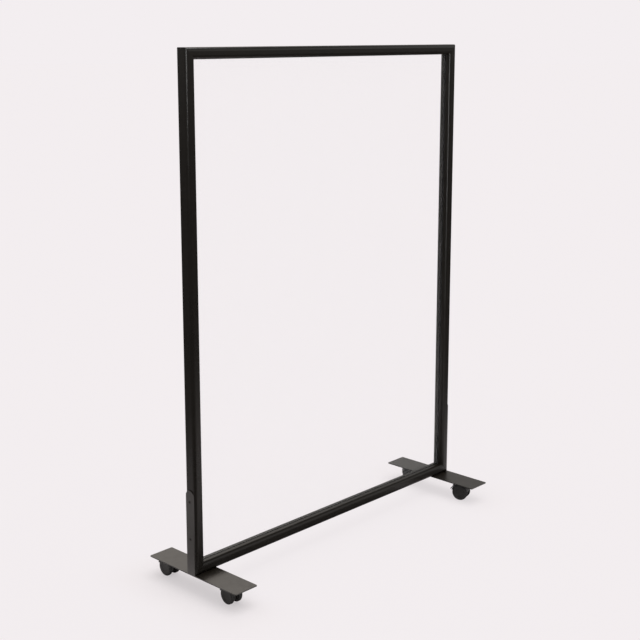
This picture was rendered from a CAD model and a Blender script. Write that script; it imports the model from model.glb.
# %% [markdown]
# # A rolling partition
#
# The object is a room divider on wheels. Four lengths of one black tube, cut at 45 degrees, make
# an upright frame round a clear sheet. The frame stands on two flat steel feet, and each foot has
# a pair of small twin-wheel casters under its ends.
#
# The solids already have their shape, because they come from the construction model. This lesson
# gives them their finishes, adds the small things that are too fine for that model, and sets up a
# floor, lights and a camera. Every length is in metres, x runs along the frame, y through it, and
# z is up from the floor.

# %% Load the construction model
import math

import bmesh
import bpy
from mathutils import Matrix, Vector


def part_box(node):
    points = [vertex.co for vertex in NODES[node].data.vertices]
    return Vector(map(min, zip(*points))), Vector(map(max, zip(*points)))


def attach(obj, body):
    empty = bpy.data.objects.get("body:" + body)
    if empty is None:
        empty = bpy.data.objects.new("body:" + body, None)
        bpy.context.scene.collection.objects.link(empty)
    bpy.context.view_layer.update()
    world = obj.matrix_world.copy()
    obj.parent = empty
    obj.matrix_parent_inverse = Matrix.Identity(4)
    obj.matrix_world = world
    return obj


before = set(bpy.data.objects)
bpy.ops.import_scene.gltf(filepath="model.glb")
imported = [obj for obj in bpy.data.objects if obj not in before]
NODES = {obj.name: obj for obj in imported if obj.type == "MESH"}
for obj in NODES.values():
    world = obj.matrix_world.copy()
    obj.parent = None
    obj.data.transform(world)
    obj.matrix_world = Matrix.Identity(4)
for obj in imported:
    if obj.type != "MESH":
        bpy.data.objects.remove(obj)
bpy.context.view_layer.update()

MM = 0.001

# %% [markdown]
# ## Shader maths as plain expressions
#
# A finish is a small program made of nodes. Wiring each one by hand is long and hard to read, so
# one class stands for a node's output and lets Python's own signs add the Math nodes. Another
# holds the tree that they are in, and adds every other kind of node from its type, its settings
# and what goes into its sockets. Colours are mixed by a Mix node, since a Math node would turn
# them grey.

# %% A wire that can be added and multiplied
class Wire:
    """An output of a node. Arithmetic on it adds Math nodes to its tree."""

    def __init__(self, tree, socket):
        self.tree, self.socket = tree, socket

    def math(self, operation, *values):
        return self.tree.add("Math", {"operation": operation}, dict(enumerate(values)))

    def __add__(self, other):
        return self.math("ADD", self, other)

    def __sub__(self, other):
        return self.math("SUBTRACT", self, other)

    def __rsub__(self, other):
        return self.math("SUBTRACT", other, self)

    def __mul__(self, other):
        return self.math("MULTIPLY", self, other)

    __radd__, __rmul__ = __add__, __mul__

    def ramp(self, low, high):
        """0 below low, 1 above high, and a smooth rise between them."""
        sockets = {"Value": self, "From Min": low, "From Max": high}
        return self.tree.add("MapRange", {"interpolation_type": "SMOOTHSTEP"}, sockets)


# %% The tree that the wires are in
class Tree:
    """The node tree of a material or of the world, emptied and filled by code."""

    def __init__(self, owner):
        owner.use_nodes = True
        self.nodes, self.links = owner.node_tree.nodes, owner.node_tree.links
        self.nodes.clear()

    def add(self, kind, settings=None, sockets=None, out=0):
        node = self.nodes.new("ShaderNode" + kind)
        for name, value in (settings or {}).items():
            setattr(node, name, value)
        for name, value in (sockets or {}).items():
            if isinstance(value, Wire):
                self.links.new(value.socket, node.inputs[name])
            else:
                node.inputs[name].default_value = value
        return Wire(self, node.outputs[out]) if len(node.outputs) else node

    def mix(self, factor, first, second):
        """Colour first where factor is 0, colour second where it is 1."""
        return self.add("Mix", {"data_type": "RGBA"}, {0: factor, 6: first, 7: second}, out=2)

    def noise(self, where, size, detail=2.0, **more):
        """Soft noise from 0 to 1, whose spots are about size metres across."""
        sockets = {"Vector": where, "Scale": 1 / size, "Detail": detail, **more}
        return self.add("TexNoise", {}, sockets)


def grey(value, warmth=0.0):
    """A colour of that brightness, a little redder where warmth is above 0."""
    return (value * (1 + warmth), value, value * (1 - warmth), 1.0)


print("the wire knows", [name for name in vars(Wire) if name.startswith("__")])

# %% Start and end of a finish
def start_finish(name):
    """A new material, its tree, and a wire with the place on the object in metres."""
    material = bpy.data.materials.new(name)
    tree = Tree(material)
    return material, tree, tree.add("TexCoord", out=3)


def end_finish(tree, height, bump, sockets):
    """Bump of that height in metres from a wire, then the shader with its sockets."""
    normal = tree.add("Bump", {}, {"Height": height, "Distance": bump})
    shader = tree.add("BsdfPrincipled", {}, {**sockets, "Normal": normal})
    tree.add("OutputMaterial", {}, {"Surface": shader})


FINISHES = {}

# %% [markdown]
# ## Powder coat on the frame and the feet
#
# The frame is sprayed with dry black powder, which melts in an oven into a skin a tenth of a
# millimetre thick. Such a skin isn't flat: it has the fine waves of an orange's peel, and its
# shine is uneven where it was rubbed in use. A glossy black would show sharp mirror images, and a
# matt one would lose the bright edge along the top rail. So the finish is a dark satin, with waves
# 1.4 mm across for its bump and broad clouds in its shine. The feet are rolled plate with a
# smoother, slightly warmer coat that has caught some dust.

# %% Powder coat
def powder_coat(name, colour, shine, dust, gloss=0.5):
    """Satin black skin: its linear colour, middle roughness, dust on top and strength of shine."""
    material, tree, place = start_finish(name)
    peel = tree.noise(place, 1.4 * MM, 1.0)
    grain = tree.noise(place, 0.35 * MM, 0.0)
    clouds = tree.noise(place, 120 * MM, 3.0)
    rubs = tree.noise(place, 22 * MM, 4.0, Roughness=0.65)
    settled = tree.noise(place, 9 * MM, 5.0, Roughness=0.7).ramp(0.45, 0.75) * dust
    skin = tree.mix(clouds, grey(colour * 0.85, 0.3), grey(colour * 1.15, 0.3))
    sockets = {
        "Base Color": tree.mix(settled, skin, grey(colour * 3.5, 0.08)),
        "Roughness": shine - 0.05 + clouds * 0.06 + rubs.ramp(0.4, 0.7) * 0.04 + settled * 0.15,
        "Specular IOR Level": gloss,
    }
    end_finish(tree, peel + grain * 0.15, 0.03 * MM, sockets)
    return material


FINISHES["tube_paint"] = powder_coat("satin_black_tube", 0.0062, 0.30, 0.10, gloss=0.35)
FINISHES["plate_paint"] = powder_coat("satin_black_plate", 0.0110, 0.32, 0.30, gloss=1.0)
FINISHES["fastener_steel"] = powder_coat("satin_black_screw", 0.0070, 0.32, 0.10)
print("powder coats:", sorted(FINISHES))

# %% [markdown]
# ## The clear sheet
#
# The sheet in the frame is 4 mm of clear plastic. Head-on it can hardly be seen: it adds a thin
# veil over what is behind it. A refracting glass shader would be closer to the physics, but it
# darkens a thin sheet's shadow and takes many samples to clear. The veil is made with a low alpha
# on a pale, polished surface, a little stronger where the sheet was wiped.

# %% Clear sheet
def clear_plastic(name):
    material, tree, place = start_finish(name)
    wiped = tree.noise(place, 160 * MM, 5.0, Roughness=0.6, Distortion=0.8)
    sockets = {
        "Base Color": tree.mix(wiped, (0.88, 0.92, 0.93, 1), (0.94, 0.96, 0.97, 1)),
        "Roughness": 0.05 + wiped.ramp(0.4, 0.8) * 0.06,
        "IOR": 1.49,
        "Alpha": 0.015 + wiped * 0.02,
    }
    end_finish(tree, wiped, 0.02 * MM, sockets)
    return material


FINISHES["clear_sheet"] = clear_plastic("clear_polished_sheet")

# %% [markdown]
# ## Rubber
#
# The seal that grips the sheet is extruded and smooth, about as shiny as the coat beside it. The
# treads are pressed in a mould and have been rolled on, so they are matt, and worn in spots.

# %% Rubber
def rubber(name, colour, size, worn, shine):
    material, tree, place = start_finish(name)
    grain = tree.noise(place, size, 3.0, Roughness=0.7)
    patches = tree.noise(place, 7 * MM, 3.0).ramp(0.4, 0.7)
    sockets = {
        "Base Color": tree.mix(patches * worn, grey(colour), grey(colour * 2.2, 0.03)),
        "Roughness": shine + grain * 0.12 - patches * 0.08,
    }
    end_finish(tree, grain, 0.04 * MM, sockets)
    return material


FINISHES["gasket_rubber"] = rubber("extruded_seal", 0.018, 0.5 * MM, 0.2, 0.34)
FINISHES["tread_rubber"] = rubber("worn_tread", 0.012, 0.6 * MM, 0.7, 0.72)

# %% [markdown]
# ## Moulded plastic on the casters
#
# The hoods, hubs and brake levers are black nylon from a mould with an etched face. The etching
# leaves pits 0.4 mm apart, and handling polishes the high spots, so the shine changes with them.

# %% Moulded plastic
def moulded(name, colour, shine):
    material, tree, place = start_finish(name)
    etched = tree.noise(place, 0.4 * MM, 2.0)
    flow = tree.noise(place, 14 * MM, 3.0, Distortion=1.2)
    sockets = {
        "Base Color": tree.mix(flow, grey(colour * 0.85, 0.12), grey(colour * 1.2, 0.12)),
        "Roughness": shine + etched * 0.08 + flow * 0.05,
    }
    end_finish(tree, etched, 0.05 * MM, sockets)
    return material


FINISHES["housing_plastic"] = moulded("etched_nylon_hood", 0.0075, 0.40)
FINISHES["hub_plastic"] = moulded("etched_nylon_hub", 0.0090, 0.42)

# %% [markdown]
# ## Bare metal
#
# The stems and axles are turned, so a cutting tool has left fine rings round them. The keys in
# the frame's corners are sawn aluminium, and the sleeves that the stems turn in are sintered
# bronze. One function makes all three. A metal's colour is in its reflection, so only its
# scratches and their roughness vary.

# %% Bare metal
def bare_metal(name, dull, bright, shine, stretch):
    """stretch squeezes the noise along x, y and z, so that it draws out into scratches."""
    material, tree, place = start_finish(name)
    along = tree.add("VectorMath", {"operation": "MULTIPLY"}, {0: place, 1: stretch})
    lines = tree.noise(along, 1.0 * MM, 4.0, Roughness=0.6)
    stain = tree.noise(place, 11 * MM, 3.0)
    sockets = {
        "Base Color": tree.mix(stain, dull, bright),
        "Metallic": 1.0,
        "Roughness": shine + lines * 0.14,
    }
    end_finish(tree, lines, 0.01 * MM, sockets)
    return material


ROUND_Z = (0.3, 0.3, 4.0)
ALL_WAYS = (1.0, 1.0, 1.0)
FINISHES["bare_steel"] = bare_metal(
    "turned_steel", (0.42, 0.42, 0.43, 1), (0.56, 0.56, 0.57, 1), 0.24, ROUND_Z
)
FINISHES["key_aluminium"] = bare_metal(
    "sawn_aluminium", (0.66, 0.67, 0.69, 1), (0.78, 0.79, 0.80, 1), 0.38, ROUND_Z
)
FINISHES["bush_bronze"] = bare_metal(
    "sintered_bronze", (0.45, 0.30, 0.13, 1), (0.60, 0.44, 0.22, 1), 0.42, ALL_WAYS
)
print("finishes:", len(FINISHES))

# %% [markdown]
# ## Dressing the solids
#
# The record of the construction model says which finish each solid takes, so no list is repeated
# here. A solid's material slot is assigned, and its mesh stays as it is.

# %% Dress every solid
def slot_of(node):
    """The record's finish for a solid, read from the material that came with it."""
    return NODES[node].data.materials[0].name.split(".")[0]


for node, solid in NODES.items():
    finish = FINISHES[slot_of(node)]
    for place in range(len(solid.material_slots)):
        solid.material_slots[place].material = finish
print("dressed", len(NODES), "solids")

# %% Helpers for new pieces
def piece(name, mesh, body, slot, smooth=True):
    """Puts a mesh in the scene as a part of a body, with the finish of a slot."""
    mesh.materials.append(FINISHES[slot])
    mesh.polygons.foreach_set("use_smooth", [smooth] * len(mesh.polygons))
    thing = bpy.data.objects.new(name, mesh)
    bpy.context.scene.collection.objects.link(thing)
    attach(thing, body)
    return thing


def mesh_from(name, points, faces):
    mesh = bpy.data.meshes.new(name)
    mesh.from_pydata([tuple(p) for p in points], [], faces)
    made = bmesh.new()
    made.from_mesh(mesh)
    bmesh.ops.remove_doubles(made, verts=made.verts, dist=1e-7)
    bmesh.ops.recalc_face_normals(made, faces=made.faces)
    made.to_mesh(mesh)
    made.free()
    return mesh


def box_of(*nodes):
    """Lowest and highest corners of several solids together."""
    lows, highs = zip(*(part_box(node) for node in nodes))
    low = Vector([min(p[axis] for p in lows) for axis in range(3)])
    high = Vector([max(p[axis] for p in highs) for axis in range(3)])
    return low, high


# %% [markdown]
# ## Mitre seams
#
# Where two tubes meet at 45 degrees, the saw cut stays visible as a hair-thin line under the
# coat. The construction model has two solids that touch there, and nothing of the line. It could
# be painted into the finish, but then it would have no edge to catch the light. Each seam is a
# ribbon half a millimetre wide that follows the tube's outline in the plane of the cut, and stands
# a few hundredths of a millimetre proud of it. On the frame's outer side it dips under the
# surface, so that nothing stands out of the whole object's box.

# %% Mitre seams
FRAME_LOW, FRAME_HIGH = box_of("left_post", "right_post", "top_rail", "bottom_rail")
TUBE_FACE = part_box("top_rail")[1].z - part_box("top_rail")[0].z
TUBE_DEPTH = FRAME_HIGH.y - FRAME_LOW.y
TUBE_ROUND = 10 * MM
SEAM_WIDTH = 0.5 * MM
SEAM_PROUD = 0.05 * MM
SEAM_SUNK = 0.2 * MM


def tube_outline(steps=8):
    """Points round the tube's section as (inward from its outer side, along y), clockwise."""
    points = []
    for turn, (u, v) in enumerate(((1, 1), (0, 1), (0, 0), (1, 0))):
        middle = Vector((
            TUBE_ROUND if u == 0 else TUBE_FACE - TUBE_ROUND,
            (TUBE_DEPTH / 2 - TUBE_ROUND) * (1 if v else -1),
        ))
        for step in range(steps + 1):
            angle = math.radians(90 * (turn + step / steps))
            out = Vector((math.cos(angle), math.sin(angle)))
            points.append((middle, out))
    return points


def mitre_seam(name, corner, inward):
    """A ribbon round the cut at a corner of the frame. inward points from it into the frame."""
    across = Vector((inward.x, 0, -inward.z)).normalized() * SEAM_WIDTH / 2
    rings = []
    for middle, out in tube_outline():
        point = middle + out * (TUBE_ROUND + SEAM_PROUD)
        point.x = max(point.x, SEAM_SUNK)
        spot = corner + inward * point.x + Vector((0, point.y, 0))
        rings.append((spot - across, spot + across))
    count = len(rings)
    points = [spot for ring in rings for spot in ring]
    faces = []
    for i in range(count):
        j = (i + 1) % count
        faces.append((2 * i, 2 * j, 2 * j + 1, 2 * i + 1))
    return piece(name, mesh_from(name, points, faces), "frame", "tube_paint")


for side, x, step_x in (("left", FRAME_LOW.x, 1), ("right", FRAME_HIGH.x, -1)):
    for end, z, step_z in (("bottom", FRAME_LOW.z, 1), ("top", FRAME_HIGH.z, -1)):
        mitre_seam(f"{end}_{side}_seam", Vector((x, 0, z)), Vector((step_x, 0, step_z)))
print("tube face and depth in mm:", round(TUBE_FACE / MM, 2), round(TUBE_DEPTH / MM, 2))

# %% [markdown]
# ## The floor
#
# The object stands on a pale sweep, in a studio that is dark far off. The floor is a wide matt
# disc that keeps the object's shadow. Its colour is the background's, and the lights are set so
# that a matt surface shows its colour as written, which makes the floor run into the background
# without an edge. Away from the feet only an eighth of the shadow is kept, because a soft shadow
# that long would outweigh the thin frame. Round the feet more of it stays, most at the near one.
#
# A black satin tube shows little but reflections, so the floor is described a second time as
# reflections see it. There it is dimmer, and ends a little way from the object as a real sweep
# does: that is what darkens the middle of the posts. It is dark along the bottom rail, and on the
# near left, which draws the dark line down the rounded corner of the near post. It is dimmer on the
# left behind that post, where the reflections in the upright tab fall.
#
# Each pair of numbers below is a soft edge, from where the change starts to where it is complete.

# %% Floor
PALE = (0.8962, 0.8550, 0.8714, 1.0)
FLOOR_DROP = 0.3 * MM
FLOOR_REACH = 60.0
SWEEP_MIDDLE = (-0.15, -0.10, 0.0)
SWEEP_EDGE = (0.9, 1.85)
SWEEP_GLOSS = 0.88
FAR_DARK = 0.10
SHADOW_KEPT, FOOT_SHADOW_KEPT = 0.12, 0.44
FOOT_START, FOOT_STOP, FOOT_SIDES = (0.40, 0.50), (0.58, 0.72), (0.20, 0.34)
FAR_FOOT, FAR_FOOT_LESS = (-0.1, 0.1), 0.5
RAIL_ENDS, RAIL_SIDES = (0.38, 0.46), (0.22, 0.50)
NEAR_LEFT_X, NEAR_LEFT_Y = (-0.64, -0.58), (-0.10, -0.03)
BACK_LEFT_X, BACK_LEFT_Y, BACK_LEFT_AWAY = (-0.72, -0.60), (0.02, 0.12), (0.85, 1.20)
BACK_LEFT_DARK = 0.65


def floor_finish():
    material, tree, place = start_finish("pale_sweep")
    x = tree.add("SeparateXYZ", {}, {0: place}, out=0)
    y = tree.add("SeparateXYZ", {}, {0: place}, out=1)
    away = tree.add("VectorMath", {"operation": "DISTANCE"}, {0: place, 1: SWEEP_MIDDLE}, out=1)
    off_x, off_y = x.math("ABSOLUTE", x), y.math("ABSOLUTE", y)
    fibres = tree.noise(place, 2 * MM, 2.0)
    shade = tree.mix(fibres, tuple(c * 0.995 for c in PALE[:3]) + (1,), PALE)
    paper = tree.add("BsdfDiffuse", {}, {"Color": shade})
    plain = tree.add("Emission", {}, {"Color": shade})
    studio = tree.add("Emission", {}, {"Color": grey(FAR_DARK)})

    camera_ray = tree.add("LightPath", out=0)
    by_a_foot = off_x.ramp(*FOOT_START) * (1 - off_x.ramp(*FOOT_STOP))
    by_a_foot = by_a_foot * (1 - off_y.ramp(*FOOT_SIDES))
    by_a_foot = by_a_foot * (1 - x.ramp(*FAR_FOOT) * FAR_FOOT_LESS)
    lifted = camera_ray * (1 - SHADOW_KEPT - by_a_foot * (FOOT_SHADOW_KEPT - SHADOW_KEPT))
    seen = tree.add("MixShader", {}, {0: lifted, 1: paper, 2: plain})

    glossy_ray = tree.add("LightPath", out=3)
    under_rail = (1 - off_x.ramp(*RAIL_ENDS)) * (1 - off_y.ramp(*RAIL_SIDES))
    near_left = (1 - x.ramp(*NEAR_LEFT_X)) * (1 - y.ramp(*NEAR_LEFT_Y))
    back_left = (1 - x.ramp(*BACK_LEFT_X)) * y.ramp(*BACK_LEFT_Y) * BACK_LEFT_DARK
    lit = (1 - away.ramp(*SWEEP_EDGE)) * (1 - under_rail) * (1 - near_left) * SWEEP_GLOSS
    lit = lit * (1 - back_left * (1 - away.ramp(*BACK_LEFT_AWAY)))
    surface = tree.add("MixShader", {}, {0: (1 - lit) * glossy_ray, 1: seen, 2: studio})
    tree.add("OutputMaterial", {}, {"Surface": surface})
    return material


floor_mesh = bpy.data.meshes.new("floor")
disc = bmesh.new()
bmesh.ops.create_circle(disc, cap_ends=True, segments=96, radius=FLOOR_REACH)
disc.to_mesh(floor_mesh)
disc.free()
floor_mesh.materials.append(floor_finish())
floor = bpy.data.objects.new("floor", floor_mesh)
floor.location.z = -FLOOR_DROP
bpy.context.scene.collection.objects.link(floor)

# %% [markdown]
# ## The light
#
# On matt surfaces the studio is even: a pale room all round, and a broad, soft sun overhead that
# makes the shadow under the feet. In reflections it is a dim ceiling, walls that are brightest a
# little above the horizon and dark low down behind the object, and one warm, bright screen high
# behind it, which lights up the top of the foot plates. The camera sees one plain colour in its
# place. The world isn't sampled as a lamp, so that each kind of ray meets what is meant for it.
#
# Up and down are told by the height of a direction, from -1 to 1. The screen and the dark part are
# told by how nearly a direction points at them, where 1 is straight at them.
#
# Three small lamps are there for the gloss alone. One hangs over the top rail, and two narrow ones
# stand on the left, where each of them draws the bright line down the rounded edge of one post.

# %% World
ROOM = 0.68
HORIZON, WALL, CEILING, SCREEN = 0.30, 0.75, 0.10, 1.1
HORIZON_RISE, WALL_RISE, WALL_FALL = (-0.06, 0.02), (0.0, 0.14), (0.45, 0.72)
SCREEN_EDGE, BEHIND_EDGE, BEHIND_TOP = (0.90, 1.0), (0.78, 0.95), (0.10, 0.30)
BEHIND_DARK, BEHIND_TOP_LESS = 0.92, 0.3
SCREEN_WAY = Vector((0.40, 0.62, 0.64)).normalized()
BEHIND_WAY = Vector((0.80, 0.60, 0.05)).normalized()
world = bpy.data.worlds.new("studio")
world.cycles.sampling_method = "NONE"
bpy.context.scene.world = world
sky = Tree(world)
direction = sky.add("TexCoord", out=0)
up = sky.add("SeparateXYZ", {}, {0: direction}, out=2)
toward = sky.add("VectorMath", {"operation": "DOT_PRODUCT"}, {0: direction, 1: SCREEN_WAY}, out=1)
screen = toward.ramp(*SCREEN_EDGE)
glow = FAR_DARK + up.ramp(*HORIZON_RISE) * (HORIZON - FAR_DARK)
glow = glow + up.ramp(*WALL_RISE) * (WALL - HORIZON)
glow = glow - up.ramp(*WALL_FALL) * (WALL - CEILING)
behind = sky.add("VectorMath", {"operation": "DOT_PRODUCT"}, {0: direction, 1: BEHIND_WAY}, out=1)
low_behind = behind.ramp(*BEHIND_EDGE) * (1 - up.ramp(*BEHIND_TOP) * BEHIND_TOP_LESS)
glow = glow * (1 - low_behind * BEHIND_DARK) + screen * SCREEN
glossy_ray = sky.add("LightPath", out=3)
tint = sky.mix(screen, grey(1.0, 0.02), grey(1.0, 0.10))
lit = sky.add("Background", {}, {"Color": tint, "Strength": ROOM + (glow - ROOM) * glossy_ray})
seen = sky.add("Background", {}, {"Color": PALE})
camera_ray = sky.add("LightPath", out=0)
view = sky.add("MixShader", {}, {0: camera_ray, 1: lit, 2: seen})
sky.add("OutputWorld", {}, {"Surface": view})

# %% Lamps
def lamp(name, kind, place, target, **settings):
    light = bpy.data.lights.new(name, kind)
    for key, value in settings.items():
        setattr(light, key, value)
    thing = bpy.data.objects.new(name, light)
    thing.location = place
    aim = Vector(target) - Vector(place)
    thing.rotation_euler = aim.to_track_quat("-Z", "Y").to_euler()
    bpy.context.scene.collection.objects.link(thing)
    return thing


overhead = lamp("overhead", "SUN", (0.4, -0.6, 4), (0, 0, 0), energy=1.03, angle=math.radians(50))
overhead.visible_glossy = False
gleam = lamp(
    "gleam", "AREA", (0.10, -0.05, 2.5), (-0.2, 0.0, 1.45),
    energy=3.8, shape="RECTANGLE", size=0.5, size_y=0.4,
)
near_edge_light = lamp(
    "near_edge_light", "AREA", (-2.9, -2.0, 1.50), (-0.55, 0.0, 1.45),
    energy=0.12, shape="RECTANGLE", size=0.3, size_y=0.3, spread=math.radians(14),
)
far_edge_light = lamp(
    "far_edge_light", "AREA", (-2.6, -2.8, 1.10), (0.54, 0.0, 1.10),
    energy=0.42, shape="RECTANGLE", size=0.3, size_y=1.2, spread=math.radians(14),
)
for soft_box in (gleam, near_edge_light, far_edge_light):
    soft_box.visible_diffuse = False

# %% [markdown]
# ## The camera
#
# The camera stands at the height of the frame's top edge, 3.4 m from its middle, and looks down a
# little, past the near post. Its place and lens were worked out from where the frame's and the
# feet's corners lie in the view. A small shift of the lens lifts the horizon.

# %% Camera
EYE = Vector((-2.5143, -2.3338, 1.4840))
PITCH, YAW = 0.1923, 0.7576
forward = Vector((
    math.cos(YAW) * math.cos(PITCH), math.sin(YAW) * math.cos(PITCH), -math.sin(PITCH),
))
lens = bpy.data.cameras.new("camera")
lens.sensor_width = 36.0
lens.lens = 68.06
lens.shift_y = -0.08
lens.clip_start, lens.clip_end = 0.05, 300.0
camera = bpy.data.objects.new("camera", lens)
camera.location = EYE
camera.rotation_euler = forward.to_track_quat("-Z", "Y").to_euler()
bpy.context.scene.collection.objects.link(camera)
bpy.context.scene.camera = camera
bpy.context.scene.view_settings.view_transform = "Standard"
print("camera to the middle of the frame in m:", round((Vector((0, 0, 0.7)) - EYE).length, 2))

# %% [markdown]
# ## Finish
#
# The boxes of the construction model and of the dressed one are kept, so that they can be
# compared, and the last line checks the whole and writes its table.

# %% Keep the sizes and finish
def plain(box):
    """Two corners as plain lists of numbers."""
    return [[float(c) for c in corner] for corner in box]
